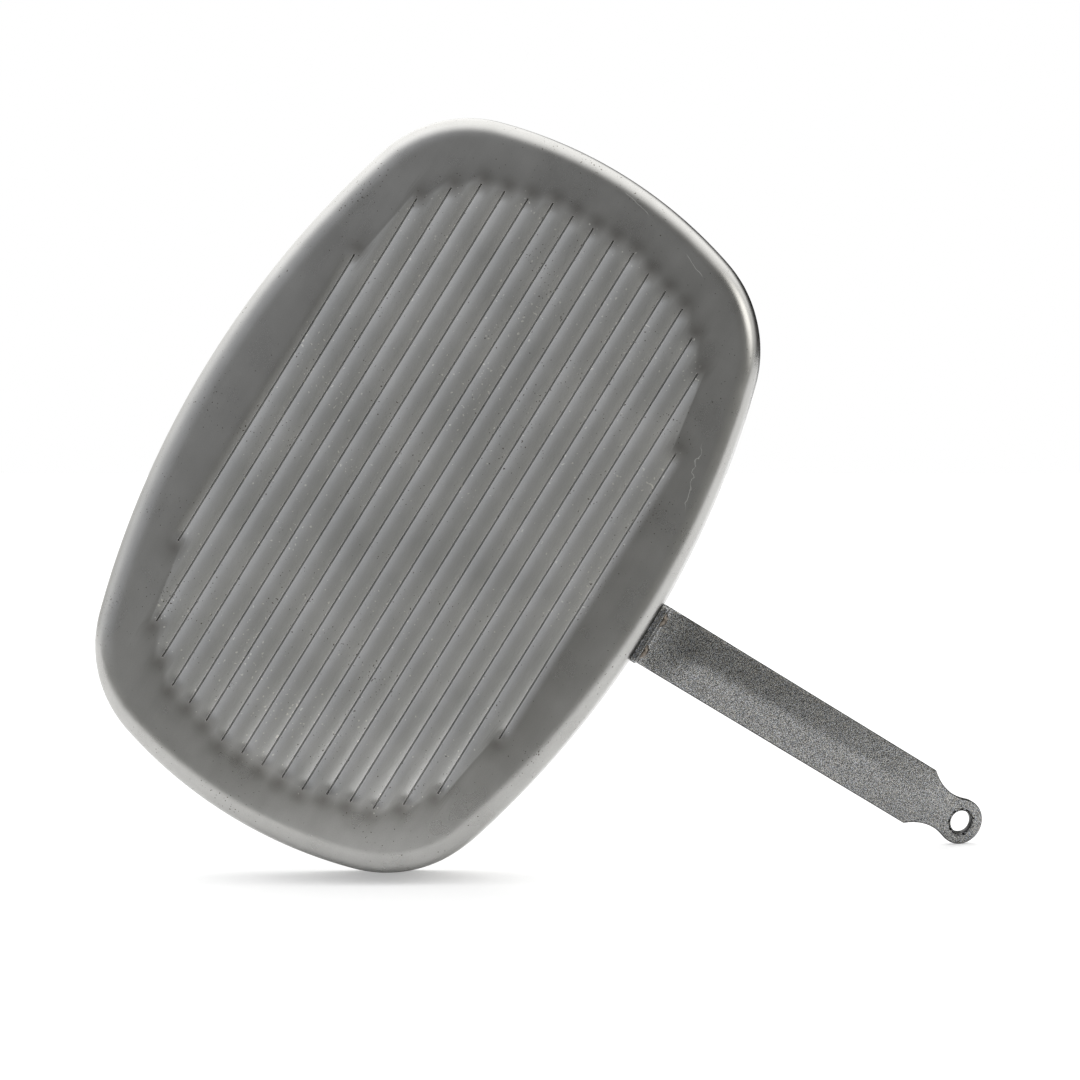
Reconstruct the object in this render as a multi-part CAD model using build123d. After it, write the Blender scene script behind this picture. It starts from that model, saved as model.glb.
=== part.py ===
"""Ribbed steel grill pan with a riveted strip handle.

A rectangular pan with bowed sides is pressed from one steel sheet. Seventeen
parallel ribs are pressed up through its floor, so each shows as a ridge inside
the pan and as a narrow groove underneath. A bent steel strip is the handle. Two
solid rivets hold its flange against the long side of the pan.

Millimetres, +Z up. The pan rests on its floor at Z = 0, its long side runs along
X, and the handle leaves towards +Y. The model is laid out about the middle of the
pan, then moved so that the origin is the middle of the whole object's footprint.
"""
import os
from math import cos, hypot, radians, sin, tan

from build123d import *

# Driving dimensions of the pan
PAN_LENGTH = 380.0
PAN_WIDTH = 262.0
PAN_HEIGHT = 38.0
SHEET = 2.5
WALL_FLARE = 7.0             # degrees out from upright
FLOOR_CORNER_RADIUS = 10.5   # outside, between floor and wall
RIM_ROUND = 0.9
SIDE_BOW_RADIUS = 480.0      # long sides, at the rim
END_BOW_RADIUS = 230.0       # short ends, at the rim
PLAN_CORNER_RADIUS = 66.5    # between side and end, at the rim

# Driving dimensions of the ribs
RIB_PITCH = 11.6
RIB_LENGTHS = [310, 310, 310, 301, 295, 289, 270, 243, 165]   # middle rib outwards
RIB_HALF_WIDTH = 5.3
RIDGE_HEIGHT = 2.4           # inside the pan
RIDGE_TOP_RADIUS = 2.6
VALLEY_DEPTH = 0.8           # underneath, a shallow valley with a narrow slit along its middle
VALLEY_ROOT_RADIUS = 0.6
VALLEY_SETBACK = 5.0         # how much sooner a valley ends than its slit
SLIT_WIDTH = 0.8
SLIT_DEPTH = 1.4             # below the valley

# Driving dimensions of the handle, whose grip is measured from the turn of its bend
STRIP_WIDTH = 33.0
STRIP_THICKNESS = 3.5
HANDLE_RISE = 17.0           # degrees up from level
FLANGE_FOOT = 9.0            # height of the flange's lower end
TURN_HEIGHT = 33.0           # height of the turn, on the strip's outer face
BEND_RADIUS = 3.0            # inside the bend
FLANGE_CORNER_RADIUS = 3.0
FLANGE_GAP = 0.05            # paint between flange and wall
GRIP_LENGTH = 179.0          # to the shoulders
EYE_REACH = 208.0            # to the centre of the eye
EYE_RADIUS = 12.4
EYE_HOLE_RADIUS = 6.0
NECK_RADIUS = 26.0
CHANNEL_DEPTH = 2.6          # of the grip's shallow V below its edges, before its crease is rounded
CREASE_HALF_WIDTH = 3.5
CHANNEL_START = 8.0
CHANNEL_FORMED = 30.0
CHANNEL_FADES = 178.0
CHANNEL_END = 196.0
CHANNEL_SECTIONS = 9         # in each stretch where the channel forms or fades

# Driving dimensions of the rivets
RIVET_SPACING = 18.4
RIVET_HEIGHT = 20.5
SHANK_RADIUS = 1.95
SHANK_CLEARANCE = 0.03
OUTER_HEAD_RADIUS = 4.1
OUTER_HEAD_HEIGHT = 2.6
INNER_HEAD_RADIUS = 4.6
INNER_HEAD_HEIGHT = 1.6
HEAD_EDGE = 0.4              # upright edge below each dome
INNER_HEAD_GAP = 0.22        # lets the flat seat clear the bowed wall

FLARE_SLOPE = tan(radians(WALL_FLARE))


def circle_meet(centre_a, radius_a, centre_b, radius_b):
    """The meeting point of two circles that lies farther along X plus Y."""
    dx = centre_b[0] - centre_a[0]
    dy = centre_b[1] - centre_a[1]
    gap = hypot(dx, dy)
    along = (radius_a**2 - radius_b**2 + gap**2) / (2 * gap)
    across = (radius_a**2 - along**2) ** 0.5
    base = (centre_a[0] + along * dx / gap, centre_a[1] + along * dy / gap)
    first = (base[0] + across * dy / gap, base[1] - across * dx / gap)
    second = (base[0] - across * dy / gap, base[1] + across * dx / gap)
    return max(first, second, key=sum)


def beyond(centre, through, distance):
    """The point at distance past through, on the line from centre."""
    dx = through[0] - centre[0]
    dy = through[1] - centre[1]
    reach = hypot(dx, dy)
    return (through[0] + distance * dx / reach, through[1] + distance * dy / reach)


def arc_about(centre, radius, start, end):
    """The short arc about centre from start to end."""
    chord_mid = ((start[0] + end[0]) / 2, (start[1] + end[1]) / 2)
    reach = hypot(chord_mid[0] - centre[0], chord_mid[1] - centre[1])
    return ThreePointArc(start, beyond(centre, chord_mid, radius - reach), end)


def plan_outline(inset):
    """The pan's outline at the rim, moved inwards by inset."""
    end_r = END_BOW_RADIUS - inset
    side_r = SIDE_BOW_RADIUS - inset
    corner_r = PLAN_CORNER_RADIUS - inset
    end_centre = (PAN_LENGTH / 2 - END_BOW_RADIUS, 0.0)
    side_centre = (0.0, PAN_WIDTH / 2 - SIDE_BOW_RADIUS)
    corner = circle_meet(end_centre, end_r - corner_r, side_centre, side_r - corner_r)
    end_joint = beyond(end_centre, corner, corner_r)
    side_joint = beyond(side_centre, corner, corner_r)
    quarter = [
        arc_about(end_centre, end_r, (end_centre[0] + end_r, 0), end_joint),
        arc_about(corner, corner_r, end_joint, side_joint),
        arc_about(side_centre, side_r, side_joint, (0, side_centre[1] + side_r)),
    ]
    right = quarter + [mirror(arc, Plane.XZ) for arc in quarter]
    return make_face(right + [mirror(arc, Plane.YZ) for arc in right])


def tub(inset, floor, corner_radius):
    """Solid tub with flared walls: inset at the rim, flat bottom at height floor."""
    depth = PAN_HEIGHT - floor
    foot = Pos(0, 0, floor) * plan_outline(inset + depth * FLARE_SLOPE)
    solid = extrude(foot, depth, taper=-WALL_FLARE)
    return fillet(solid.edges().group_by(Axis.Z)[0], corner_radius)


def rib_half(height, tip_radius, skirt):
    """Half a rib's cross-section: an S of two smooth arcs, and a skirt below."""
    foot_radius = (RIB_HALF_WIDTH**2 + height**2) / (2 * height) - tip_radius
    share = tip_radius / (tip_radius + foot_radius)
    turn = (RIB_HALF_WIDTH * share, height * (1 - share))
    foot = (RIB_HALF_WIDTH, 0)
    skirt_line = Polyline(foot, (RIB_HALF_WIDTH, -skirt), (0, -skirt), (0, height))
    return make_face([
        arc_about((0, height - tip_radius), tip_radius, (0, height), turn),
        arc_about((RIB_HALF_WIDTH, foot_radius), foot_radius, turn, foot),
        skirt_line,
    ])


def rib(length, height, tip_radius, skirt):
    """A rib along X with round ends, its foot at Z = 0."""
    half = rib_half(height, tip_radius, skirt)
    run = extrude(Plane.YZ * half, length, dir=(1, 0, 0))
    run = Pos(-length / 2, 0, 0) * (run + mirror(run, Plane.XZ))
    dome = revolve(Plane.XZ * half, Axis.Z, 360)
    return run + [Pos(side * length / 2, 0, 0) * dome for side in (-1, 1)]


def ridge(length):
    """One raised rib inside the pan."""
    return Pos(0, 0, SHEET) * rib(length, RIDGE_HEIGHT, RIDGE_TOP_RADIUS, SHEET / 2)


def groove(length):
    """The hollow under one rib: a shallow valley and its slit."""
    valley = rib(length - 2 * VALLEY_SETBACK, VALLEY_DEPTH, VALLEY_ROOT_RADIUS, SHEET)
    slit = extrude(SlotCenterToCenter(length, SLIT_WIDTH), VALLEY_DEPTH + SLIT_DEPTH)
    return valley + slit


def rib_row(make_one):
    """Ridges or grooves for all the ribs, side by side."""
    row = []
    for step, length in enumerate(RIB_LENGTHS):
        one = make_one(length)
        for side in (-1, 1) if step else (1,):
            row.append(Pos(0, side * step * RIB_PITCH, 0) * one)
    return row


def wall_frame(height):
    """Plane touching the outside of the +Y wall at a height, facing away from the pan."""
    y = PAN_WIDTH / 2 - (PAN_HEIGHT - height) * FLARE_SLOPE
    outward = (0, cos(radians(WALL_FLARE)), -sin(radians(WALL_FLARE)))
    return Plane(origin=(0, y, height), x_dir=(1, 0, 0), z_dir=outward)


def rivet_frame(side):
    """Plane of one rivet, on the outside of the wall."""
    return wall_frame(RIVET_HEIGHT) * Pos(side * RIVET_SPACING / 2, 0, 0)


def rivet_bores():
    """Round tools that drill the wall and the flange for the rivets."""
    bore = Cylinder(SHANK_RADIUS + SHANK_CLEARANCE, 4 * STRIP_THICKNESS)
    return [rivet_frame(side) * bore for side in (-1, 1)]


def pan_body():
    """The pressed pan."""
    outside = tub(0.0, 0.0, FLOOR_CORNER_RADIUS)
    wall_inset = SHEET / cos(radians(WALL_FLARE))
    inside = tub(wall_inset, SHEET, FLOOR_CORNER_RADIUS - SHEET)
    shell = outside - inside
    shell = fillet(shell.edges().group_by(Axis.Z)[-1], RIM_ROUND)
    shell = shell + rib_row(ridge) - rib_row(groove)
    return shell - rivet_bores()


def grip_frame():
    """Location of the grip: X across, Y along, Z up, on its underside at the turn."""
    wall = wall_frame(TURN_HEIGHT)
    turn = wall.origin + wall.z_dir * (FLANGE_GAP + STRIP_THICKNESS)
    normal = (0, -sin(radians(HANDLE_RISE)), cos(radians(HANDLE_RISE)))
    return Plane(origin=turn, x_dir=(1, 0, 0), z_dir=normal)


def flange():
    """The flat flange, its bend, and the first flat stretch of the grip, in the grip's frame."""
    turn_angle = radians(90 - WALL_FLARE - HANDLE_RISE)
    drop = (TURN_HEIGHT - FLANGE_FOOT) / cos(radians(WALL_FLARE))
    foot = (-drop * cos(turn_angle), -drop * sin(turn_angle))
    face_step = (-STRIP_THICKNESS * sin(turn_angle), STRIP_THICKNESS * cos(turn_angle))
    back = -STRIP_THICKNESS * tan(turn_angle / 2)
    side_view = Polyline(
        foot,
        (0, 0),
        (CHANNEL_START, 0),
        (CHANNEL_START, STRIP_THICKNESS),
        (back, STRIP_THICKNESS),
        (foot[0] + face_step[0], foot[1] + face_step[1]),
        close=True,
    )
    blank = extrude(Plane.YZ * make_face(side_view), STRIP_WIDTH / 2, both=True)
    across = blank.edges().filter_by(Axis.X)
    inner = across.sort_by_distance((0, 0, 0))[0]
    blank = fillet(inner, BEND_RADIUS)
    outer = blank.edges().filter_by(Axis.X).sort_by_distance((0, back, STRIP_THICKNESS))[0]
    blank = fillet(outer, BEND_RADIUS + STRIP_THICKNESS)
    corners = [e for e in blank.edges() if abs(e.length - STRIP_THICKNESS) < 0.01]
    corners = ShapeList(corners).sort_by(Axis.Z)[:2]
    return fillet(corners, FLANGE_CORNER_RADIUS)


def channel_sag(along):
    """Depth of the strip's V at a distance along the grip."""
    forming = (along - CHANNEL_START) / (CHANNEL_FORMED - CHANNEL_START)
    fading = (CHANNEL_END - along) / (CHANNEL_END - CHANNEL_FADES)
    share = max(0.0, min(1.0, forming, fading))
    return CHANNEL_DEPTH * share * share * (3 - 2 * share)


def grip_section(along):
    """Cross-section of the strip along the grip: a shallow V, open at the top, with a round crease."""
    half = STRIP_WIDTH / 2
    sag = channel_sag(along)
    crease_sag = sag * (1 - CREASE_HALF_WIDTH / half)
    edges = [Line((x, 0), (x, STRIP_THICKNESS)) for x in (-half, half)]
    for height in (0, STRIP_THICKNESS):
        left = (-CREASE_HALF_WIDTH, height - crease_sag)
        right = (CREASE_HALF_WIDTH, height - crease_sag)
        edges += [
            Line((-half, height), left),
            Bezier(left, (0, height - sag), right),
            Line(right, (half, height)),
        ]
    plane = Plane(origin=(0, along, 0), x_dir=(1, 0, 0), z_dir=(0, -1, 0))
    return plane * make_face(edges)


def grip_stretch(start, end):
    """The strip between two distances, lofted where its channel changes."""
    steps = CHANNEL_SECTIONS - 1
    stations = [start + (end - start) * step / steps for step in range(CHANNEL_SECTIONS)]
    return loft([grip_section(along) for along in stations])


def handle_outline():
    """Plan of the grip: straight sides, shoulders, hollow neck and round eye."""
    half = STRIP_WIDTH / 2
    eye = (0.0, EYE_REACH)
    shoulder = (half, GRIP_LENGTH)
    neck = circle_meet(eye, EYE_RADIUS + NECK_RADIUS, shoulder, NECK_RADIUS)
    joint = beyond(neck, eye, -EYE_RADIUS)
    right = [
        Polyline((0, 0), (half, 0), shoulder),
        arc_about(neck, NECK_RADIUS, shoulder, joint),
        arc_about(eye, EYE_RADIUS, joint, (0, EYE_REACH + EYE_RADIUS)),
    ]
    return make_face(right + [mirror(edge, Plane.YZ) for edge in right])


def tip_waste(far_end):
    """What is cut off the blank strip to leave the neck and the eye."""
    length = far_end - GRIP_LENGTH
    blank = Pos(0, GRIP_LENGTH + length / 2) * Rectangle(2 * STRIP_WIDTH, length)
    return extrude(blank - handle_outline(), 2 * STRIP_THICKNESS, both=True)


def handle():
    """The bent strip, in place."""
    far_end = EYE_REACH + EYE_RADIUS + 1
    straight = extrude(grip_section(CHANNEL_FORMED), CHANNEL_FADES - CHANNEL_FORMED, dir=(0, 1, 0))
    flat_end = extrude(grip_section(CHANNEL_END), far_end - CHANNEL_END, dir=(0, 1, 0))
    strip = grip_stretch(CHANNEL_START, CHANNEL_FORMED) + straight
    strip = strip + grip_stretch(CHANNEL_FADES, CHANNEL_END) + flat_end - tip_waste(far_end + 1)
    strip -= Pos(0, EYE_REACH, 0) * Cylinder(EYE_HOLE_RADIUS, 4 * STRIP_THICKNESS)
    return grip_frame() * (flange() + strip) - rivet_bores()


def dome(radius, height):
    """A low domed rivet head standing on Z = 0."""
    rise = height - HEAD_EDGE
    ball = (radius**2 + rise**2) / (2 * rise)
    outline = [
        Polyline((0, height), (0, 0), (radius, 0), (radius, HEAD_EDGE)),
        arc_about((0, height - ball), ball, (radius, HEAD_EDGE), (0, height)),
    ]
    return revolve(Plane.XZ * make_face(outline), Axis.Z, 360)


def rivet(side):
    """One rivet: domed head outside on the flange, shank, and low head inside the pan."""
    top = FLANGE_GAP + STRIP_THICKNESS
    bottom = -(SHEET + INNER_HEAD_GAP)
    shank = Pos(0, 0, (top + bottom) / 2) * Cylinder(SHANK_RADIUS, top - bottom)
    outer = Pos(0, 0, top) * dome(OUTER_HEAD_RADIUS, OUTER_HEAD_HEIGHT)
    inner = Pos(0, 0, bottom) * Rot(180, 0, 0) * dome(INNER_HEAD_RADIUS, INNER_HEAD_HEIGHT)
    return rivet_frame(side) * (shank + outer + inner)


def main():
    """Build every piece, centre the footprint on the origin and write the parts."""
    pieces = {
        "pan_body": pan_body(),
        "handle": handle(),
        "left_rivet": rivet(1),
        "right_rivet": rivet(-1),
    }
    footprint = Compound(list(pieces.values())).bounding_box()
    to_origin = Pos(0, -footprint.center().Y, 0)
    os.makedirs("parts", exist_ok=True)
    for name, piece in pieces.items():
        export_step(to_origin * piece, f"parts/{name}.step")


main()
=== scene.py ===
"""Ribbed grill pan with a riveted strip handle: looks, light and camera.

Metres, in the part's own frame: +Z up out of the pan, +Y towards the handle's eye.
The pan, the handle and the rivets are rebuilt as fine meshes at the CAD's sizes,
which are given in millimetres about the middle of the pan's footprint.
"""
from math import atan2, ceil, cos, hypot, pi, radians, sin, sqrt, tan

import bmesh
import bpy
import numpy as np
from mathutils import Matrix, Vector
from mathutils.geometry import delaunay_2d_cdt


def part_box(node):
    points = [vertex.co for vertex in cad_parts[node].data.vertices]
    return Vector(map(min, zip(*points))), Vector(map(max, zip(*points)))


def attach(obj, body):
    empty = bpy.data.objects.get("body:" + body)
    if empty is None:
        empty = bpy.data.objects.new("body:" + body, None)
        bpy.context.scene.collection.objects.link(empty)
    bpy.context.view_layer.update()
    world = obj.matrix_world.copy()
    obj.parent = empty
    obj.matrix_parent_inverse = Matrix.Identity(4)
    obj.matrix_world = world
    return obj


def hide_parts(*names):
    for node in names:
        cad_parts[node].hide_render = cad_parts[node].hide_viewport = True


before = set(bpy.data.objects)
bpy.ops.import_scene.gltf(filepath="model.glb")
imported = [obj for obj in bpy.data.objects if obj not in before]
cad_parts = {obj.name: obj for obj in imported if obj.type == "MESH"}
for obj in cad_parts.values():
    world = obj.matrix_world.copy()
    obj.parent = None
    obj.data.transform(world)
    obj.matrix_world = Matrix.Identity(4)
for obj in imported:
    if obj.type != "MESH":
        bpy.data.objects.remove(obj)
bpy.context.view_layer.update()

MM = 0.001

# Pan
PAN_LENGTH = 380.0
PAN_WIDTH = 262.0
PAN_HEIGHT = 38.0
SHEET = 2.5
WALL_FLARE = radians(7.0)
FLOOR_CORNER_RADIUS = 10.5
RIM_ROUND = 0.9
SIDE_BOW_RADIUS = 480.0
END_BOW_RADIUS = 230.0
PLAN_CORNER_RADIUS = 66.5

# Ribs, from the middle one outwards
RIB_PITCH = 11.6
RIB_LENGTHS = (310, 310, 310, 301, 295, 289, 270, 243, 165)
RIB_HALF_WIDTH = 5.3
RIDGE_HEIGHT = 2.4
RIDGE_TOP_RADIUS = 2.6
VALLEY_DEPTH = 0.8
VALLEY_ROOT_RADIUS = 0.6
VALLEY_SETBACK = 5.0
SLIT_HALF_WIDTH = 0.4
SLIT_DEPTH = 1.4

# Grids of the pan's floor: rows from each rib's middle, stations along it from its tip
GROOVE_ROWS = (0.0, 0.2, 0.32, 0.38, 0.44, 0.6, 1.0, 1.7, 2.5, 3.4, 4.3, 5.3)
GROOVE_STATIONS = (-9.0, -7.0, -5.5, -4.2, -3.0, -2.0, -1.2, -0.6, -0.3, 0.0, 0.13,
                   0.25, 0.33, 0.38, 0.44, 0.6, 1.2, 2.2, 3.2, 4.3, 5.4, 7.0)
RIDGE_ROWS = (0.0, 0.7, 1.4, 2.1, 2.9, 3.8, 4.6, 5.3)
RIDGE_STATIONS = (-7.0, -4.5, -2.5, -1.0, 0.0, 1.0, 2.0, 3.0, 4.2, 5.4, 7.0)
STRAIGHT_STEPS = 14
MARGIN_STEPS = 4
TIP_HOLD = 2.6               # offset from a rib within which the stations keep to its own tip
GRID_INSET = 20.0            # from the rim's outline to the ends of the grid
GRID_MARGIN = 1.6            # beyond the outermost rib's foot
RING_INSET = 17.0            # from the rim's outline to where the walls' rings begin
RING_STEPS = (22, 28, 40)    # in a quarter of the outline: end bow, corner, side bow
PRESSED_FADE = 5.0           # how far the die's scuffed surface fades out past the ribs
# Painted shade on the underside, darkening the steel's colour beyond each groove's tip and in a belt
# round the ribs.
TIP_SHADE_REACH = 3.0           # from a groove's tip to the middle of its patch of painted shade
TIP_SHADE_RADIUS = 8.5
SHADE_BELT_WIDTH = 18.0            # of the belt of painted shade round the ribs
SHADE_BELT_SHARE = 0.4             # how dark the belt of painted shade is, beside the tips' painted shade
LONGEST_STEP = 3.0           # up the walls
WALL_CORNER_STEPS = 8        # round each corner of the walls' profile

# Handle, measured from the turn of its bend
STRIP_WIDTH = 33.0
STRIP_THICKNESS = 3.5
HANDLE_RISE = radians(17.0)
FLANGE_FOOT = 9.0
TURN_HEIGHT = 33.0
BEND_RADIUS = 3.0
FLANGE_CORNER_RADIUS = 3.0
FLANGE_GAP = 0.05
GRIP_LENGTH = 179.0
EYE_REACH = 208.0
EYE_RADIUS = 12.4
EYE_HOLE_RADIUS = 6.0
NECK_RADIUS = 26.0
CHANNEL_DEPTH = 2.6
CREASE_HALF_WIDTH = 3.5
CHANNEL_START = 8.0
CHANNEL_FORMED = 30.0
CHANNEL_FADES = 178.0
CHANNEL_END = 196.0
STRIP_EDGE_ROUND = 0.6
STRIP_EDGE_STEPS = 4
STRIP_GRID = 3.0             # spacing of the points along the strip's faces
STRIP_ROWS = 1.6             # and across them
BEND_GRID = 0.6
EYE_STEPS = 22
EYE_HOLE_STEPS = 40
NECK_STEPS = 10
FLANGE_CORNER_STEPS = 6
FLANGE_FOOT_STEPS = 4
FILL_INSIDE = 1              # the triangulation's name for keeping what lies inside the outline
MERGE_DISTANCE = 1e-5

# Rivets
RIVET_SPACING = 18.4
RIVET_HEIGHT = 20.5
SHANK_RADIUS = 1.95
OUTER_HEAD_RADIUS = 4.1
OUTER_HEAD_HEIGHT = 2.6
INNER_HEAD_RADIUS = 4.6
INNER_HEAD_HEIGHT = 1.6
HEAD_EDGE = 0.4
INNER_HEAD_GAP = 0.22
RIVET_STEPS = 48
DOME_STEPS = 8

# Marks on the steel and the paint. A scratch has two ends, in millimetres from the pan's middle,
# a half width and a waver. Flecks have a size in millimetres, a rarity and how many patches they
# gather in over a metre.
SCRATCHES = (
    ((100.0, 106.0), (64.0, 116.0), 0.35, 9.0),
    ((176.0, 22.0), (180.0, 4.0), 0.30, 2.0),
    ((170.0, 46.0), (164.0, 60.0), 0.25, 2.0),
)
SCRATCH_WAVES = 160.0        # in a metre
SCRATCH_FADE = 0.15          # share of its length at each end
SCRATCH_TONE = (0.86, 0.86, 0.83)
SPECKS = (0.9, 1.0, 30.0)
DOTS = (1.6, 0.965, 22.0)
FLECK_GATHERING = 0.35
FLECK_EDGE = 0.03
PRESSED_DULLING = 0.05       # roughness that the die adds
# the steel's colour is multiplied by this where shade is painted round the ribs and beyond the groove
# tips
PAINTED_SHADE_TONE = (0.60, 0.585, 0.57)
SPECK_TONE = (0.10, 0.085, 0.07)
DOT_TONE = (0.86, 0.85, 0.80)
# near-black on the handle's rounded edges from the channel's start on
DARK_RIM_TONE = (0.03, 0.03, 0.03)

# Textures: how many features they have in a metre
CLOUDS = 45.0
SMEARS = 16.0
STREAKS = (12.0, 220.0, 220.0)
GRAIN = 1800.0
PAINT_SPECKS = 2400.0
PAINT_SHADES = 90.0
PAINT_TINTS = 1300.0
PATINA = 500.0

# What the textures are turned into: colours, greys or roughnesses at levels of the texture
STEEL_TONES = ((0.30, (0.485, 0.48, 0.465)), (0.70, (0.545, 0.54, 0.525)))
STEEL_ROUGHNESS = ((0.3, 0.26), (0.7, 0.31))
PRESSED_TONES = ((0.35, (0.60, 0.60, 0.59)), (0.65, (0.72, 0.715, 0.70)))
STREAK_TONES = ((0.3, 0.90), (0.7, 1.0))
GRAIN_TONES = ((0.25, 0.80), (0.75, 1.0))
PAINT_TONES = ((0.39, 0.05), (0.50, 0.18), (0.61, 0.54))
PAINT_SHADE_TONES = ((0.3, 0.85), (0.7, 1.0))
PAINT_HUES = ((0.40, (0.92, 0.95, 1.0)), (0.60, (1.0, 0.97, 0.90)))
RIVET_TONES = ((0.35, (0.08, 0.068, 0.056)), (0.65, (0.23, 0.20, 0.17)))
RIVET_ROUGHNESS = ((0.3, 0.22), (0.7, 0.38))

# Camera: millimetres from the pan's middle, then its lens and up direction
CAMERA_PLACE = (30.0, 20.0, -1166.8)
CAMERA_AIM = (11.33, 58.24, 0.0)
CAMERA_UP = (0.8504, -0.5253, 0.0308)
CAMERA_LENS = 79.0
CAMERA_PITCH = radians(4.5)  # how far the camera looks down on the floor

# Floor, in metres: what the camera sees, and what reflections see near the object and
# farther towards the camera
FLOOR_HALF = 4.0
FLOOR_GLOW = 0.36
FLOOR_SEEN = (0.72, 0.72, 0.72)
FLOOR_BRIGHT = (0.95, 0.95, 0.95)
FLOOR_DIM = (0.24, 0.24, 0.23)
FLOOR_FADE = (0.08, 0.30)

# Soft lights: degrees away from the camera's place and round from its right, the degrees at which
# each is full and has faded out, and its colour, which is black for a dark screen
DARK_ROOM = (0.165, 0.165, 0.16)
SOFT_LIGHTS = (
    (180, 0, 80, 160, (0.55, 0.55, 0.54)),
    (110, 80, 35, 80, (1.1, 1.1, 1.1)),
    (60, 155, 20, 74, (0.36, 0.37, 0.40)),
    (61, 14, 5, 22, (2.3, 2.26, 2.16)),
    (30, -35, 0, 27, (0.12, 0.12, 0.12)),
    (145, -5, 34, 52, (0.0, 0.0, 0.0)),
    (53, -13, 6, 20, (0.0, 0.0, 0.0)),
)

pan_low, pan_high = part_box("pan_body")
PAN_MIDDLE = Vector(((pan_low.x + pan_high.x) / 2, (pan_low.y + pan_high.y) / 2, pan_low.z))


# ---------------------------------------------------------------- shared mesh helpers

def place(point):
    """A point in millimetres about the pan's middle, in metres in the part's frame."""
    return PAN_MIDDLE + Vector(point) * MM


def make_piece(name, points, faces, node, material):
    """A smooth closed mesh that rides on the frame and stands for one CAD node."""
    mesh = bpy.data.meshes.new(name)
    mesh.from_pydata([place(p) for p in points], [], faces)
    mesh.materials.append(material)
    shape = bmesh.new()
    shape.from_mesh(mesh)
    bmesh.ops.recalc_face_normals(shape, faces=shape.faces)
    shape.to_mesh(mesh)
    shape.free()
    mesh.polygons.foreach_set("use_smooth", [True] * len(mesh.polygons))
    piece = bpy.data.objects.new(name, mesh)
    bpy.context.scene.collection.objects.link(piece)
    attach(piece, "root")
    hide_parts(node)
    return piece


def tag(piece, name, values):
    """Gives every vertex of a piece a number that its material reads."""
    layer = piece.data.attributes.new(name, "FLOAT", "POINT")
    layer.data.foreach_set("value", values)


def unit(vector):
    """The vector at length 1."""
    return np.asarray(vector, float) / np.linalg.norm(vector)


def circle_meet(centre_a, radius_a, centre_b, radius_b):
    """The meeting point of two circles that lies farther along X plus Y."""
    dx = centre_b[0] - centre_a[0]
    dy = centre_b[1] - centre_a[1]
    gap = hypot(dx, dy)
    along = (radius_a**2 - radius_b**2 + gap**2) / (2 * gap)
    across = sqrt(radius_a**2 - along**2)
    base = (centre_a[0] + along * dx / gap, centre_a[1] + along * dy / gap)
    first = (base[0] + across * dy / gap, base[1] - across * dx / gap)
    second = (base[0] - across * dy / gap, base[1] + across * dx / gap)
    return max(first, second, key=sum)


def arc(centre, radius, start, end, steps):
    """Points on an arc from one angle to another."""
    turns = [start + (end - start) * k / steps for k in range(steps + 1)]
    return [(centre[0] + radius * cos(a), centre[1] + radius * sin(a)) for a in turns]


def rounded_path(corners, radii, steps):
    """A polyline through corners, with each inner corner turned into an arc of points."""
    path = [np.array(corners[0], float)]
    for before, corner, after, radius in zip(corners, corners[1:], corners[2:], radii):
        back = unit(np.subtract(before, corner))
        ahead = unit(np.subtract(after, corner))
        half = np.arccos(back @ ahead) / 2
        centre = corner + unit(back + ahead) * radius / sin(half)
        start = corner + back * radius / tan(half) - centre
        end = corner + ahead * radius / tan(half) - centre
        sweep = pi - 2 * half
        for step in range(steps + 1):
            share = step / steps
            mix = sin((1 - share) * sweep) * start + sin(share * sweep) * end
            path.append(centre + mix / sin(sweep))
    path.append(np.array(corners[-1], float))
    return path


def subdivided(path, longest):
    """The path with points added wherever two neighbours are too far apart."""
    rows = [path[0]]
    for point in path[1:]:
        start = rows[-1]
        count = ceil(np.linalg.norm(point - start) / longest)
        rows += [start + (point - start) * k / count for k in range(1, count + 1)]
    return rows


def join_rings(ring_a, ring_b):
    """Quads between two closed rings of as many vertices."""
    next_a = ring_a[1:] + ring_a[:1]
    next_b = ring_b[1:] + ring_b[:1]
    return list(zip(ring_a, next_a, next_b, ring_b))


def stitch(points, ring_a, ring_b):
    """Triangles between two closed rings round the origin with different numbers of vertices."""
    def by_angle(ring):
        turns = [atan2(points[k][1], points[k][0]) for k in ring]
        first = turns.index(min(turns))
        order = ring[first:] + ring[:first + 1]
        return order, turns[first:] + turns[:first] + [turns[first] + 2 * pi]
    (a, a_turns), (b, b_turns) = by_angle(ring_a), by_angle(ring_b)
    i = j = 0
    faces = []
    while i < len(a) - 1 or j < len(b) - 1:
        if j == len(b) - 1 or (i < len(a) - 1 and a_turns[i + 1] <= b_turns[j + 1]):
            faces.append((a[i], a[i + 1], b[j]))
            i += 1
        else:
            faces.append((a[i], b[j + 1], b[j]))
            j += 1
    return faces


# ---------------------------------------------------------------- pan

END_CENTRE = (PAN_LENGTH / 2 - END_BOW_RADIUS, 0.0)
SIDE_CENTRE = (0.0, PAN_WIDTH / 2 - SIDE_BOW_RADIUS)
CORNER_CENTRE = circle_meet(END_CENTRE, END_BOW_RADIUS - PLAN_CORNER_RADIUS,
                            SIDE_CENTRE, SIDE_BOW_RADIUS - PLAN_CORNER_RADIUS)
END_JOINT = unit(np.subtract(CORNER_CENTRE, END_CENTRE))
SIDE_JOINT = unit(np.subtract(CORNER_CENTRE, SIDE_CENTRE))


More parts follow.
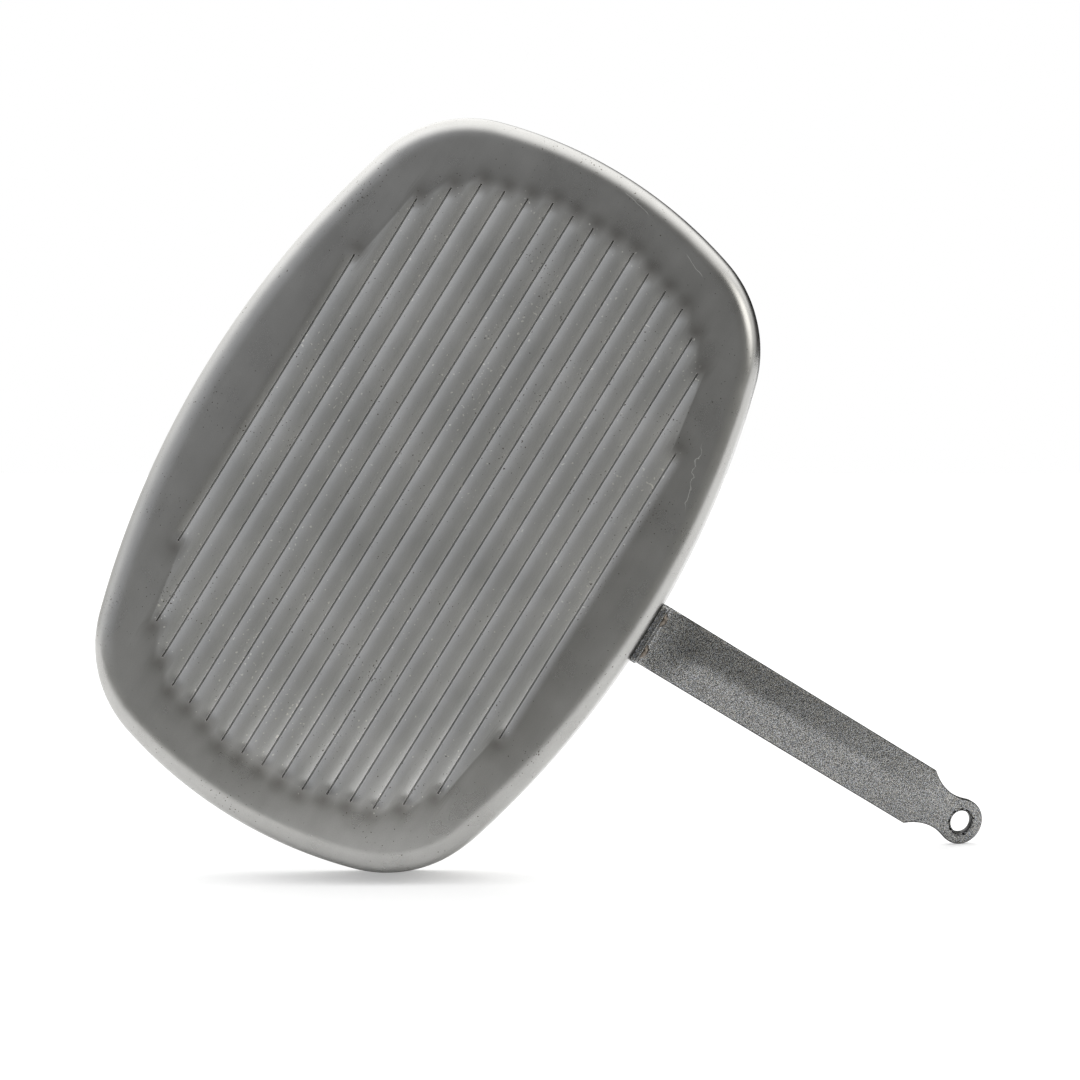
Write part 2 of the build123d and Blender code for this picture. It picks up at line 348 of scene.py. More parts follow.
def s_curve(distance, height, tip_radius):
    """Height of a rib's S-shaped flank at a distance from its middle."""
    foot_radius = (RIB_HALF_WIDTH**2 + height**2) / (2 * height) - tip_radius
    turn = RIB_HALF_WIDTH * tip_radius / (tip_radius + foot_radius)
    if distance < turn:
        return height - tip_radius + sqrt(tip_radius**2 - distance**2)
    return foot_radius - sqrt(foot_radius**2 - max(RIB_HALF_WIDTH - distance, 0)**2)


def nearest_rib(y):
    """Length of the rib that a row belongs to, and the row's offset from its middle."""
    step = min(len(RIB_LENGTHS) - 1, round(abs(y) / RIB_PITCH))
    return RIB_LENGTHS[step], abs(abs(y) - step * RIB_PITCH)


def under_floor(x, y):
    """Height of the floor's underside: a soft valley below each rib, with a slit along it."""
    length, offset = nearest_rib(y)
    soft = hypot(max(abs(x) - length / 2 + VALLEY_SETBACK, 0), offset)
    narrow = hypot(max(abs(x) - length / 2, 0), offset) / SLIT_HALF_WIDTH
    valley = s_curve(soft, VALLEY_DEPTH, VALLEY_ROOT_RADIUS)
    return valley + (VALLEY_DEPTH + SLIT_DEPTH - valley) * sqrt(1 - min(narrow, 1)**2)


def upper_floor(x, y):
    """Height of the floor's upper side, with its ridges."""
    length, offset = nearest_rib(y)
    return SHEET + s_curve(hypot(max(abs(x) - length / 2, 0), offset), RIDGE_HEIGHT, RIDGE_TOP_RADIUS)


def row_places(offsets):
    """Y of every row of a floor grid."""
    half = []
    for step in range(len(RIB_LENGTHS)):
        middle = step * RIB_PITCH
        half += [middle - gap for gap in offsets[:0:-1]] if step else []
        half += [middle + gap for gap in offsets]
    half.append(half[-1] + GRID_MARGIN)
    return [-y for y in half[:0:-1]] + half


def tip_reach(y):
    """Where the tips are at a row: its own rib's, easing across to the next rib's."""
    marks, tips = [], []
    for step, length in enumerate(RIB_LENGTHS):
        marks += [step * RIB_PITCH - TIP_HOLD, step * RIB_PITCH + TIP_HOLD]
        tips += [length / 2, length / 2]
    return np.interp(abs(y), marks, tips)


def grid_reach(y):
    """Half the length of a floor grid's row."""
    corner_radius = PLAN_CORNER_RADIUS - GRID_INSET
    if abs(y) < CORNER_CENTRE[1] + corner_radius * END_JOINT[1]:
        centre, radius = END_CENTRE, END_BOW_RADIUS - GRID_INSET
    elif abs(y) < CORNER_CENTRE[1] + corner_radius * SIDE_JOINT[1]:
        centre, radius = CORNER_CENTRE, corner_radius
    else:
        centre, radius = SIDE_CENTRE, SIDE_BOW_RADIUS - GRID_INSET
    return centre[0] + sqrt(radius**2 - (abs(y) - centre[1])**2)


def row_stations(y, stations):
    """X of every point of a row, close together about the tips."""
    tip = tip_reach(y)
    first = tip + stations[0]
    last = tip + stations[-1]
    edge = grid_reach(y)
    half = [first * k / STRAIGHT_STEPS for k in range(1, STRAIGHT_STEPS)]
    half += [tip + step for step in stations]
    half += [last + (edge - last) * k / MARGIN_STEPS for k in range(1, MARGIN_STEPS + 1)]
    return [-x for x in half[::-1]] + [0.0] + half


def past_ribs(x, y):
    """Distance out from the ribbed field."""
    past_tip = max(abs(x) - tip_reach(y), 0)
    past_side = max(abs(y) - (len(RIB_LENGTHS) - 1) * RIB_PITCH, 0)
    return hypot(past_tip, past_side)


def pressed_share(x, y):
    """How far a place on the floor is scuffed by the die that pressed the ribs."""
    return max(1 - past_ribs(x, y) / PRESSED_FADE, 0)


def painted_shade_share(x, y):
    """How dark a place is painted: shade in a belt round the ribs and beyond a groove's tip."""
    length, offset = nearest_rib(y)
    painted_shade = 1 - hypot(abs(x) - length / 2 - TIP_SHADE_REACH, offset) / TIP_SHADE_RADIUS
    past = past_ribs(x, y)
    shade_belt = SHADE_BELT_SHARE * min(past / PRESSED_FADE, 1 - past / SHADE_BELT_WIDTH)
    return max(painted_shade, shade_belt, 0)


def floor_grid(points, faces, height, offsets, stations):
    """Adds one side of the pan's floor, and returns the ring of vertices round it."""
    rows = []
    for y in row_places(offsets):
        row = [(x, y, height(x, y)) for x in row_stations(y, stations)]
        rows.append(range(len(points), len(points) + len(row)))
        points += row
    for low, high in zip(rows, rows[1:]):
        faces += [(low[k], low[k + 1], high[k + 1], high[k]) for k in range(len(low) - 1)]
    right = [row[-1] for row in rows[1:-1]]
    left = [row[0] for row in rows[1:-1]]
    return list(rows[0]) + right + list(rows[-1])[::-1] + left[::-1]


def outline_spokes():
    """Centre, radius and direction of the outline at every column of the walls' rings."""
    end_turn = atan2(END_JOINT[1], END_JOINT[0])
    side_turn = atan2(SIDE_JOINT[1], SIDE_JOINT[0])
    stretches = (
        (END_CENTRE, END_BOW_RADIUS, 0.0, end_turn),
        (CORNER_CENTRE, PLAN_CORNER_RADIUS, end_turn, side_turn),
        (SIDE_CENTRE, SIDE_BOW_RADIUS, side_turn, pi / 2),
    )
    quarter = []
    for (centre, radius, start, end), steps in zip(stretches, RING_STEPS):
        turns = [start + (end - start) * k / steps for k in range(steps)]
        quarter += [(centre, radius, (cos(a), sin(a))) for a in turns]
    top = (SIDE_CENTRE, SIDE_BOW_RADIUS, (0.0, 1.0))
    spokes = []
    back = [top] + quarter[:0:-1]
    for flip_x, flip_y, order in ((1, 1, quarter), (-1, 1, back), (-1, -1, quarter), (1, -1, back)):
        flip = np.array((flip_x, flip_y))
        spokes += [(flip * centre, radius, flip * direction) for centre, radius, direction in order]
    return spokes


def wall_profile():
    """Inset and height of every ring: under the floor's edge, up the wall, over the rim, down inside."""
    slope = tan(WALL_FLARE)
    wall = SHEET / cos(WALL_FLARE)
    corners = (
        (RING_INSET, 0.0),
        (PAN_HEIGHT * slope, 0.0),
        (0.0, PAN_HEIGHT),
        (wall, PAN_HEIGHT),
        (wall + (PAN_HEIGHT - SHEET) * slope, SHEET),
        (RING_INSET, SHEET),
    )
    radii = (FLOOR_CORNER_RADIUS, RIM_ROUND, RIM_ROUND, FLOOR_CORNER_RADIUS - SHEET)
    return subdivided(rounded_path(corners, radii, WALL_CORNER_STEPS), LONGEST_STEP)


def pan(material):
    """The pressed pan, one closed shell."""
    points, faces = [], []
    under = floor_grid(points, faces, under_floor, GROOVE_ROWS, GROOVE_STATIONS)
    upper = floor_grid(points, faces, upper_floor, RIDGE_ROWS, RIDGE_STATIONS)
    spokes = outline_spokes()
    rings = []
    for inset, height in wall_profile():
        rings.append(list(range(len(points), len(points) + len(spokes))))
        for centre, radius, direction in spokes:
            points.append((*(centre + (radius - inset) * direction), height))
    for ring_a, ring_b in zip(rings, rings[1:]):
        faces += join_rings(ring_a, ring_b)
    faces += stitch(points, under, rings[0]) + stitch(points, upper, rings[-1])
    piece = make_piece("grill_pan", points, faces, "pan_body", material)
    tag(piece, "pressed", [pressed_share(x, y) * (z < SHEET) for x, y, z in points])
    # painted shade round the ribs and beyond the groove tips, on the underside only
    tag(piece, "painted_shade", [painted_shade_share(x, y) * (z < SHEET) for x, y, z in points])
    return piece


# ---------------------------------------------------------------- handle

TURN_ANGLE = pi / 2 - WALL_FLARE - HANDLE_RISE
BEND_TANGENT = BEND_RADIUS * tan(TURN_ANGLE / 2)
BEND_START = BEND_TANGENT - BEND_RADIUS * TURN_ANGLE
STRIP_FOOT = BEND_START + BEND_TANGENT - (TURN_HEIGHT - FLANGE_FOOT) / cos(WALL_FLARE)


def wall_point(height):
    """Point on the outside of the handle's wall, in the middle of its length."""
    return Vector((0.0, PAN_WIDTH / 2 - (PAN_HEIGHT - height) * tan(WALL_FLARE), height))


def channel_sag(along):
    """Depth of the strip's V at a distance along the grip."""
    forming = (along - CHANNEL_START) / (CHANNEL_FORMED - CHANNEL_START)
    fading = (CHANNEL_END - along) / (CHANNEL_END - CHANNEL_FADES)
    share = max(0.0, min(1.0, forming, fading))
    return CHANNEL_DEPTH * share**2 * (3 - 2 * share)


def channel_share(across):
    """How much of the V's depth there is at a distance across it, with its crease rounded."""
    off = abs(across)
    if off < CREASE_HALF_WIDTH:
        off = (CREASE_HALF_WIDTH + off**2 / CREASE_HALF_WIDTH) / 2
    return 1 - 2 * off / STRIP_WIDTH


def strip_point(along, across, depth):
    """Point at a depth below the strip's outer face, at its flattened place."""
    turn = min(max((BEND_TANGENT - along) / BEND_RADIUS, 0.0), TURN_ANGLE)
    if turn == 0.0:
        base = (along, -channel_sag(along) * channel_share(across))
    elif turn < TURN_ANGLE:
        base = (BEND_TANGENT - BEND_RADIUS * sin(turn), BEND_RADIUS * (cos(turn) - 1))
    else:
        reach = BEND_START + BEND_TANGENT - along
        base = (-reach * cos(TURN_ANGLE), -reach * sin(TURN_ANGLE))
    forward = base[0] - depth * sin(turn)
    upward = base[1] + depth * cos(turn)
    outward = Vector((0.0, cos(WALL_FLARE), -sin(WALL_FLARE)))
    origin = wall_point(TURN_HEIGHT) + outward * (FLANGE_GAP + STRIP_THICKNESS)
    ahead = Vector((0.0, cos(HANDLE_RISE), sin(HANDLE_RISE)))
    normal = Vector((0.0, -sin(HANDLE_RISE), cos(HANDLE_RISE)))
    return origin + ahead * forward + normal * upward + Vector((across, 0.0, 0.0))


def strip_outline():
    """The flattened strip's outline, anticlockwise as seen with its length to the right."""
    half = STRIP_WIDTH / 2
    corner = (STRIP_FOOT + FLANGE_CORNER_RADIUS, half - FLANGE_CORNER_RADIUS)
    eye = (EYE_REACH, 0.0)
    neck = circle_meet(eye, EYE_RADIUS + NECK_RADIUS, (GRIP_LENGTH, half), NECK_RADIUS)
    neck_start = atan2(half - neck[1], GRIP_LENGTH - neck[0])
    neck_end = atan2(eye[1] - neck[1], eye[0] - neck[0])
    eye_turn = atan2(neck[1] - eye[1], neck[0] - eye[0])
    edge = arc(eye, EYE_RADIUS, 0.0, eye_turn, EYE_STEPS)
    edge += arc(neck, NECK_RADIUS, neck_end, neck_start, NECK_STEPS)[1:]
    steps = round((GRIP_LENGTH - corner[0]) / STRIP_GRID)
    edge += [(GRIP_LENGTH + (corner[0] - GRIP_LENGTH) * k / steps, half) for k in range(1, steps)]
    edge += arc(corner, FLANGE_CORNER_RADIUS, pi / 2, pi, FLANGE_CORNER_STEPS)
    edge += [(STRIP_FOOT, corner[1] * k / FLANGE_FOOT_STEPS) for k in range(FLANGE_FOOT_STEPS - 1, 0, -1)]
    return edge + [(STRIP_FOOT, 0.0)] + [(s, -w) for s, w in edge[:0:-1]]


def outward_of(loop):
    """Outward directions at the points of an anticlockwise loop."""
    count = len(loop)
    tangents = [np.subtract(loop[(k + 1) % count], loop[k - 1]) for k in range(count)]
    return [unit((t[1], -t[0])) for t in tangents]


def strip_face(loops):
    """Points and triangles that fill the strip between its outline and its hole."""
    edge, hole = loops
    flat = [tuple(p) for p in edge + hole]
    rims = [(k, (k + 1) % len(edge)) for k in range(len(edge))]
    rims += [(len(edge) + k, len(edge) + (k + 1) % len(hole)) for k in range(len(hole))]
    flange_steps = int((BEND_START - STRIP_FOOT) / STRIP_GRID)
    bend_steps = round((BEND_TANGENT - BEND_START) / BEND_GRID)
    grip_steps = int((EYE_REACH + EYE_RADIUS - BEND_TANGENT) / STRIP_GRID)
    alongs = [STRIP_FOOT + STRIP_GRID * k for k in range(1, flange_steps)]
    alongs += [BEND_START + (BEND_TANGENT - BEND_START) * k / bend_steps for k in range(bend_steps)]
    alongs += [BEND_TANGENT + STRIP_GRID * k for k in range(grip_steps + 1)]
    clear = STRIP_ROWS / 2
    last_row = int(STRIP_WIDTH / 2 / STRIP_ROWS)
    rim = np.array(flat)
    for along in alongs:
        for row in range(-last_row, last_row + 1):
            spot = np.array((along, row * STRIP_ROWS))
            gaps = np.linalg.norm(rim - spot, axis=1)
            if gaps.min() > clear and inside(spot, edge) and not inside(spot, hole):
                flat.append(tuple(spot))
    vectors = [Vector(p) for p in flat]
    out, _, faces, origins, _, _ = delaunay_2d_cdt(vectors, rims, [], FILL_INSIDE, MERGE_DISTANCE)
    order = {k: source[0] for k, source in enumerate(origins)}
    kept = []
    for face in faces:
        middle = sum((out[k] for k in face), Vector((0.0, 0.0))) / 3
        if (middle - Vector((EYE_REACH, 0.0))).length > EYE_HOLE_RADIUS:
            kept.append(tuple(order[k] for k in face))
    return flat, kept


def inside(spot, loop):
    """True if a flat point lies inside a closed loop."""
    crossings = 0
    for (x1, y1), (x2, y2) in zip(loop, loop[1:] + loop[:1]):
        if (y1 > spot[1]) != (y2 > spot[1]):
            crossings += spot[0] < x1 + (spot[1] - y1) * (x2 - x1) / (y2 - y1)
    return crossings % 2 == 1


def strip_rim():
    """How far out and how deep each row of the strip's rounded edge lies."""
    turns = [k / STRIP_EDGE_STEPS * pi / 2 for k in range(1, STRIP_EDGE_STEPS + 1)]
    near = [(STRIP_EDGE_ROUND * sin(a), STRIP_EDGE_ROUND * (1 - cos(a))) for a in turns]
    far = [(out, STRIP_THICKNESS - depth) for out, depth in near[::-1]]
    return near + far


def handle(material):
    """The bent and channelled strip with its eye."""
    edge = strip_outline()
    hole = [(EYE_REACH + EYE_HOLE_RADIUS * cos(a), EYE_HOLE_RADIUS * sin(a))
            for a in np.linspace(0, 2 * pi, EYE_HOLE_STEPS, endpoint=False)]
    sides = [outward_of(edge), [-side for side in outward_of(hole)]]
    loops = [[tuple(p - STRIP_EDGE_ROUND * side) for p, side in zip(np.array(loop), spread)]
             for loop, spread in zip((edge, hole), sides)]
    flat, triangles = strip_face(loops)
    points = [strip_point(s, w, 0.0) for s, w in flat]
    points += [strip_point(s, w, STRIP_THICKNESS) for s, w in flat]
    faces = triangles + [tuple(k + len(flat) for k in face) for face in triangles]
    rim_darkening = [0.0] * len(points)
    start = 0
    for loop, spread in zip(loops, sides):
        ring = list(range(start, start + len(loop)))
        last = [k + len(flat) for k in ring]
        for out, depth in strip_rim():
            row = list(range(len(points), len(points) + len(loop)))
            points += [strip_point(*(np.array(p) + out * side), depth) for p, side in zip(loop, spread)]
            # the rounded edges from the channel's start on are made near-black
            rim_darkening += [float(p[0] > CHANNEL_START) for p in loop]
            faces += join_rings(ring, row)
            ring = row
        faces += join_rings(ring, last)
        start += len(loop)
    piece = make_piece("strip_handle", points, faces, "handle", material)
    tag(piece, "dark_rim", rim_darkening)
    return piece


# ---------------------------------------------------------------- rivets

def dome_rise(radius, height):
    """Radius and height of points down a domed head, from its top to its upright edge."""
    rise = height - HEAD_EDGE
    ball = (radius**2 + rise**2) / (2 * rise)
    sweep = np.arcsin(radius / ball)
    turns = [sweep * k / DOME_STEPS for k in range(DOME_STEPS + 1)]
    return [(ball * sin(a), height - ball * (1 - cos(a))) for a in turns]


def rivet_profile():
    """Radius and outward distance down a rivet, from its outer dome to its inner head."""
    top = FLANGE_GAP + STRIP_THICKNESS
    bottom = -(SHEET + INNER_HEAD_GAP)
    outer = [(r, top + h) for r, h in dome_rise(OUTER_HEAD_RADIUS, OUTER_HEAD_HEIGHT)]
    inner = [(r, bottom - h) for r, h in dome_rise(INNER_HEAD_RADIUS, INNER_HEAD_HEIGHT)]
    shank = [
        (OUTER_HEAD_RADIUS, top),
        (SHANK_RADIUS, top),
        (SHANK_RADIUS, bottom),
        (INNER_HEAD_RADIUS, bottom),
    ]
    return outer + shank + inner[::-1]


def rivet(side, name, node, material):
    """One rivet, turned about an axis square to the wall."""
    outward = Vector((0.0, cos(WALL_FLARE), -sin(WALL_FLARE)))
    along = Vector((1.0, 0.0, 0.0))
    up = outward.cross(along)
    origin = wall_point(RIVET_HEIGHT) + along * side * RIVET_SPACING / 2
    profile = rivet_profile()
    points = [origin + outward * profile[0][1]]
    rings = []
    for radius, height in profile[1:-1]:
        rings.append(list(range(len(points), len(points) + RIVET_STEPS)))
        for k in range(RIVET_STEPS):
            turn = 2 * pi * k / RIVET_STEPS
            points.append(origin + outward * height + (along * cos(turn) + up * sin(turn)) * radius)
    points.append(origin + outward * profile[-1][1])
    faces = []
    for ring_a, ring_b in zip(rings, rings[1:]):
        faces += join_rings(ring_a, ring_b)
    for tip, ring in ((0, rings[0]), (len(points) - 1, rings[-1])):
        faces += [(tip, ring[k], ring[(k + 1) % RIVET_STEPS]) for k in range(RIVET_STEPS)]
    return make_piece(name, points, faces, node, material)


# ---------------------------------------------------------------- materials

def new_material(name):
    """A new material, its node tree and its Principled shader."""
    material = bpy.data.materials.new(name)
    material.use_nodes = True
    tree = material.node_tree
    return material, tree, tree.nodes["Principled BSDF"]


def link(tree, source, target):
    """Joins two sockets."""
    tree.links.new(source, target)


def noise(tree, coordinates, scale, detail=3.0, roughness=0.5):
    """A noise texture's value."""
    node = tree.nodes.new("ShaderNodeTexNoise")
    node.inputs["Scale"].default_value = scale
    node.inputs["Detail"].default_value = detail
    node.inputs["Roughness"].default_value = roughness
    link(tree, coordinates, node.inputs["Vector"])
    return node.outputs["Fac"]


def stretched(tree, coordinates, scale):
    """Coordinates scaled along each axis."""
    node = tree.nodes.new("ShaderNodeMapping")
    node.inputs["Scale"].default_value = scale
    link(tree, coordinates, node.inputs["Vector"])
    return node.outputs["Vector"]


def ramp(tree, value, stops):
    """A colour ramp over a value; stops are (place, colour)."""
    node = tree.nodes.new("ShaderNodeValToRGB")
    elements = node.color_ramp.elements
    while len(elements) < len(stops):
        elements.new(0.5)
    for element, (spot, colour) in zip(elements, stops):
        element.position = spot
        element.color = (*colour, 1.0) if isinstance(colour, tuple) else (colour, colour, colour, 1.0)
    link(tree, value, node.inputs["Fac"])
    return node.outputs["Color"]


def mixed(tree, share, first, second, blend="MIX"):
    """A blend of two colours."""
    node = tree.nodes.new("ShaderNodeMix")
    node.data_type = "RGBA"
    node.blend_type = blend
    for name, value in (("Factor", share), ("A", first), ("B", second)):
        socket = node.inputs[name]
        if isinstance(value, (int, float)):
            socket.default_value = value
        elif isinstance(value, tuple):
            socket.default_value = (*value, 1.0)
        else:
            link(tree, value, socket)
    return node.outputs["Result"]


def object_coordinates(tree):
    """Coordinates fixed to the piece, in metres."""
    return tree.nodes.new("ShaderNodeTexCoord").outputs["Object"]


def tagged(tree, name):
    """The number that tag() gave the vertices."""
    node = tree.nodes.new("ShaderNodeAttribute")
    node.attribute_name = name
    return node.outputs["Fac"]


def maths(tree, operation, first, second=0.0):
    """One sum of values or sockets."""
    node = tree.nodes.new("ShaderNodeMath")
    node.operation = operation
    for socket, value in zip(node.inputs, (first, second)):
        if isinstance(value, (int, float)):
            socket.default_value = value
        else:
            link(tree, value, socket)
    return node.outputs["Value"]


def bump(tree, height, strength, distance, under=None):
    """A bumped normal, on top of another one if given."""
    node = tree.nodes.new("ShaderNodeBump")
    node.inputs["Strength"].default_value = strength
    node.inputs["Distance"].default_value = distance
    link(tree, height, node.inputs["Height"])
    if under is not None:
        link(tree, under, node.inputs["Normal"])
    return node.outputs["Normal"]


def scratch(tree, spot, start, end, width, waver):
    """Share of a thin wavering scratch on the underside, between two places in millimetres."""
    begin = place((*start, 0.0))
    run = place((*end, 0.0)) - begin
    length = run.length
    shaken = tree.nodes.new("ShaderNodeVectorMath")
    shaken.operation = "MULTIPLY_ADD"
    waves = tree.nodes.new("ShaderNodeTexNoise")
    waves.inputs["Scale"].default_value = SCRATCH_WAVES
    link(tree, spot, waves.inputs["Vector"])
    link(tree, waves.outputs["Color"], shaken.inputs[0])
    shaken.inputs[1].default_value = (waver * MM,) * 3
    link(tree, spot, shaken.inputs[2])
    offset = tree.nodes.new("ShaderNodeVectorMath")
    offset.operation = "SUBTRACT"
    link(tree, shaken.outputs["Vector"], offset.inputs[0])
    offset.inputs[1].default_value = begin
    along = facing(tree, offset.outputs["Vector"], run.normalized())
    aside = facing(tree, offset.outputs["Vector"], run.normalized().cross(Vector((0.0, 0.0, 1.0))))
    across = rescaled(tree, maths(tree, "ABSOLUTE", aside), width * MM, 0.0)
    ahead = rescaled(tree, along, 0.0, length * SCRATCH_FADE)
    behind = rescaled(tree, along, length, length * (1 - SCRATCH_FADE))
    return maths(tree, "MULTIPLY", across, maths(tree, "MULTIPLY", ahead, behind))


def flecks(tree, spot, size, rarity, patches):
    """Share of scattered small dots, which gather in patches."""
    dots = noise(tree, spot, 1 / (size * MM), detail=0.0)
    where = noise(tree, spot, patches, detail=1.0)
    gathered = maths(tree, "ADD", dots, maths(tree, "MULTIPLY", where, FLECK_GATHERING))
    return rescaled(tree, gathered, rarity, rarity + FLECK_EDGE)


def pan_steel():
    """Bare pressed steel: satin, paler under the ribs, with clouds, streaks, painted shade round the ribs
    and beyond the groove tips, and specks.
    """
    material, tree, shader = new_material("pan_steel")
    spot = object_coordinates(tree)
    pressed = tagged(tree, "pressed")
    clouds = noise(tree, spot, CLOUDS, detail=2.0)
    smears = noise(tree, spot, SMEARS, detail=4.0, roughness=0.6)
    streaks = noise(tree, stretched(tree, spot, STREAKS), 1.0)
    grain = noise(tree, spot, GRAIN, roughness=0.65)
    tone = ramp(tree, clouds, STEEL_TONES)
    tone = mixed(tree, pressed, tone, ramp(tree, smears, PRESSED_TONES))
    # painted shade round the ribs and beyond the groove tips
    tone = mixed(tree, tagged(tree, "painted_shade"), tone, PAINTED_SHADE_TONE, "MULTIPLY")
    tone = mixed(tree, 0.4, tone, ramp(tree, streaks, STREAK_TONES), "MULTIPLY")
    tone = mixed(tree, 0.6, tone, ramp(tree, grain, GRAIN_TONES), "MULTIPLY")
    for start, end, width, waver in SCRATCHES:
        tone = mixed(tree, scratch(tree, spot, start, end, width, waver), tone, SCRATCH_TONE)
    tone = mixed(tree, flecks(tree, spot, *SPECKS), tone, SPECK_TONE)
    tone = mixed(tree, maths(tree, "MULTIPLY", pressed, flecks(tree, spot, *DOTS)), tone, DOT_TONE)
    link(tree, tone, shader.inputs["Base Color"])
    satin = ramp(tree, clouds, STEEL_ROUGHNESS)
    dulling = maths(tree, "MULTIPLY", pressed, PRESSED_DULLING)
    link(tree, maths(tree, "ADD", satin, dulling), shader.inputs["Roughness"])
    waves = bump(tree, clouds, 0.10, 1.0 * MM)
    link(tree, bump(tree, grain, 0.22, 0.1 * MM, waves), shader.inputs["Normal"])
    shader.inputs["Metallic"].default_value = 1.0
    return material


def hammered_paint():
    """Grey hammered paint: metallic, with fine bright and dark specks, and near-black on the strip's
    rounded edges along the grip.
    """
    material, tree, shader = new_material("hammered_paint")
    spot = object_coordinates(tree)
    specks = noise(tree, spot, PAINT_SPECKS, detail=1.0)
    shades = noise(tree, spot, PAINT_SHADES, detail=2.0)
    tints = noise(tree, spot, PAINT_TINTS, detail=0.0)
    colour = ramp(tree, specks, PAINT_TONES)
    colour = mixed(tree, 0.25, colour, ramp(tree, shades, PAINT_SHADE_TONES), "MULTIPLY")
    colour = mixed(tree, 1.0, colour, ramp(tree, tints, PAINT_HUES), "MULTIPLY")
    # near-black on the rounded edges along the grip
    colour = mixed(tree, tagged(tree, "dark_rim"), colour, DARK_RIM_TONE)
    link(tree, colour, shader.inputs["Base Color"])
    link(tree, bump(tree, specks, 0.25, 0.2 * MM), shader.inputs["Normal"])
    shader.inputs["Metallic"].default_value = 0.85
    shader.inputs["Roughness"].default_value = 0.27
    return material


def rivet_steel():
    """Darkened bronze-brown steel."""
    material, tree, shader = new_material("rivet_steel")
    spot = object_coordinates(tree)
    patina = noise(tree, spot, PATINA, detail=4.0)
    link(tree, ramp(tree, patina, RIVET_TONES), shader.inputs["Base Color"])
    link(tree, ramp(tree, patina, RIVET_ROUGHNESS), shader.inputs["Roughness"])
    link(tree, bump(tree, patina, 0.3, 0.1 * MM), shader.inputs["Normal"])
    shader.inputs["Metallic"].default_value = 1.0
    return material


# ---------------------------------------------------------------- camera, floor and light

def camera():
    """The camera below the pan, looking up at it. Returns its right, up and forward directions."""
    spot = place(CAMERA_PLACE)
    forward = (place(CAMERA_AIM) - spot).normalized()
    right = forward.cross(Vector(CAMERA_UP)).normalized()
    up = right.cross(forward)
    data = bpy.data.cameras.new("camera")
    data.lens = CAMERA_LENS
    data.clip_start = 0.01
    data.clip_end = 100.0
    holder = bpy.data.objects.new("camera", data)
    bpy.context.scene.collection.objects.link(holder)
    turn = Matrix((right, up, -forward)).transposed().to_4x4()
    holder.matrix_world = Matrix.Translation(spot) @ turn
    bpy.context.scene.camera = holder
    return right, up, forward


def floor(pieces, right, up, forward):
    """A white floor under the pan's lowest corner and the handle's eye, clear from behind."""
    normal = (up * cos(CAMERA_PITCH) - forward * sin(CAMERA_PITCH)).normalized()
    away = right.cross(-normal).normalized()
    lowest = min(vertex.co.dot(normal) for piece in pieces for vertex in piece.data.vertices)
    middle = PAN_MIDDLE - normal * (PAN_MIDDLE.dot(normal) - lowest)
    signs = ((-1, -1), (1, -1), (1, 1), (-1, 1))
    corners = [middle + right * a * FLOOR_HALF + away * b * FLOOR_HALF for a, b in signs]
    mesh = bpy.data.meshes.new("floor")
    mesh.from_pydata(corners, [], [(0, 1, 2, 3)])
    if mesh.polygons[0].normal.dot(normal) < 0:
        mesh.flip_normals()
    plane = bpy.data.objects.new("floor", mesh)
    bpy.context.scene.collection.objects.link(plane)
    mesh.materials.append(floor_paint(middle, -forward))


def floor_paint(middle, toward_camera):
    """White, clear from behind, and for reflections dimmer towards the camera."""
    material = bpy.data.materials.new("floor_paint")
    material.use_nodes = True
    tree = material.node_tree
    tree.nodes.clear()
    glow = tree.nodes.new("ShaderNodeEmission")
    glow.inputs["Strength"].default_value = FLOOR_GLOW
    seen = tree.nodes.new("ShaderNodeBsdfDiffuse")
    seen.inputs["Color"].default_value = (*FLOOR_SEEN, 1.0)
    both = tree.nodes.new("ShaderNodeAddShader")
    offset = tree.nodes.new("ShaderNodeVectorMath")
    offset.operation = "SUBTRACT"
    offset.inputs[1].default_value = middle
    link(tree, tree.nodes.new("ShaderNodeNewGeometry").outputs["Position"], offset.inputs[0])
    nearness = rescaled(tree, facing(tree, offset.outputs["Vector"], toward_camera), *FLOOR_FADE)
    mirrored = tree.nodes.new("ShaderNodeBsdfDiffuse")
    link(tree, mixed(tree, nearness, FLOOR_BRIGHT, FLOOR_DIM), mirrored.inputs["Color"])
    clear = tree.nodes.new("ShaderNodeBsdfTransparent")
    path = tree.nodes.new("ShaderNodeLightPath")
    side = tree.nodes.new("ShaderNodeNewGeometry")
    ray = tree.nodes.new("ShaderNodeMixShader")
    choice = tree.nodes.new("ShaderNodeMixShader")
    output = tree.nodes.new("ShaderNodeOutputMaterial")
    link(tree, glow.outputs[0], both.inputs[0])
    link(tree, seen.outputs[0], both.inputs[1])
    link(tree, path.outputs["Is Camera Ray"], ray.inputs[0])
    link(tree, mirrored.outputs[0], ray.inputs[1])
    link(tree, both.outputs[0], ray.inputs[2])
    link(tree, side.outputs["Backfacing"], choice.inputs[0])
    link(tree, ray.outputs[0], choice.inputs[1])
    link(tree, clear.outputs[0], choice.inputs[2])
    link(tree, choice.outputs[0], output.inputs["Surface"])
    return material


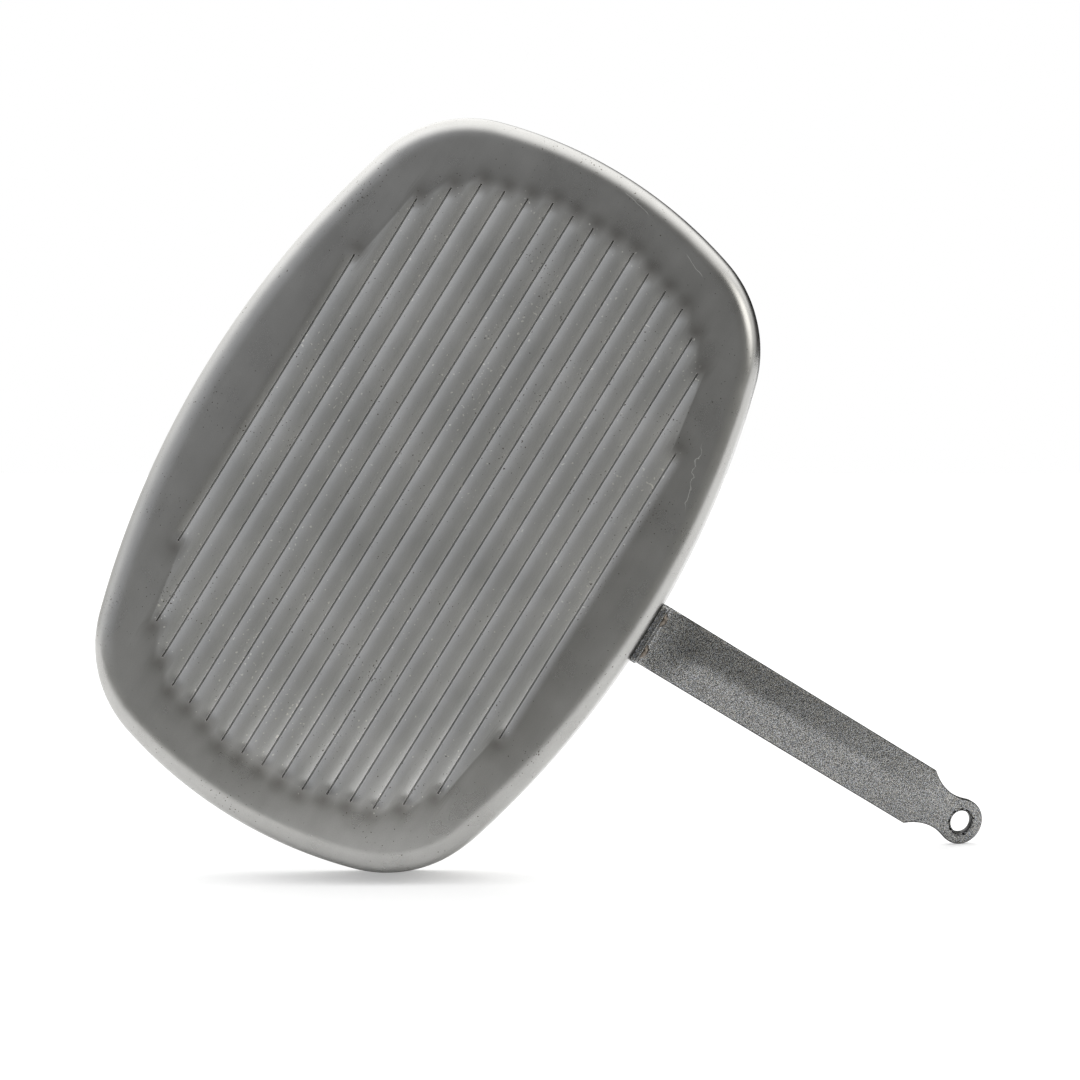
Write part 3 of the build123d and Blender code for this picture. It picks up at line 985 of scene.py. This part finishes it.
def facing(tree, direction, axis):
    """Product of a vector and an axis."""
    node = tree.nodes.new("ShaderNodeVectorMath")
    node.operation = "DOT_PRODUCT"
    node.inputs[1].default_value = axis
    link(tree, direction, node.inputs[0])
    return node.outputs["Value"]


def rescaled(tree, value, low, high):
    """A value taken smoothly from low..high to 0..1."""
    node = tree.nodes.new("ShaderNodeMapRange")
    node.interpolation_type = "SMOOTHSTEP"
    node.inputs["From Min"].default_value = low
    node.inputs["From Max"].default_value = high
    link(tree, value, node.inputs["Value"])
    return node.outputs["Result"]


def studio(right, up, forward):
    """Soft lights round the room, seen as plain white themselves."""
    world = bpy.data.worlds.new("studio")
    bpy.context.scene.world = world
    world.use_nodes = True
    tree = world.node_tree
    tree.nodes.clear()
    direction = tree.nodes.new("ShaderNodeTexCoord").outputs["Generated"]
    light = DARK_ROOM
    for off, around, inner, outer, colour in SOFT_LIGHTS:
        across = right * cos(radians(around)) + up * sin(radians(around))
        axis = across * sin(radians(off)) - forward * cos(radians(off))
        share = rescaled(tree, facing(tree, direction, axis), cos(radians(outer)), cos(radians(inner)))
        blend = "ADD" if sum(colour) > 0 else "MULTIPLY"
        light = mixed(tree, share, light, colour, blend)
    glow = tree.nodes.new("ShaderNodeBackground")
    link(tree, light, glow.inputs["Color"])
    plain = tree.nodes.new("ShaderNodeBackground")
    plain.inputs["Color"].default_value = (1.0, 1.0, 1.0, 1.0)
    path = tree.nodes.new("ShaderNodeLightPath")
    choice = tree.nodes.new("ShaderNodeMixShader")
    output = tree.nodes.new("ShaderNodeOutputWorld")
    link(tree, path.outputs["Is Camera Ray"], choice.inputs[0])
    link(tree, glow.outputs[0], choice.inputs[1])
    link(tree, plain.outputs[0], choice.inputs[2])
    link(tree, choice.outputs[0], output.inputs["Surface"])


def main():
    """Builds the pieces, then the camera, the floor and the light."""
    bpy.context.scene.view_settings.view_transform = "Standard"
    paint = hammered_paint()
    rivets = rivet_steel()
    pieces = [
        pan(pan_steel()),
        handle(paint),
        rivet(1, "rivet_left", "left_rivet", rivets),
        rivet(-1, "rivet_right", "right_rivet", rivets),
    ]
    right, up, forward = camera()
    floor(pieces, right, up, forward)
    studio(right, up, forward)


main()
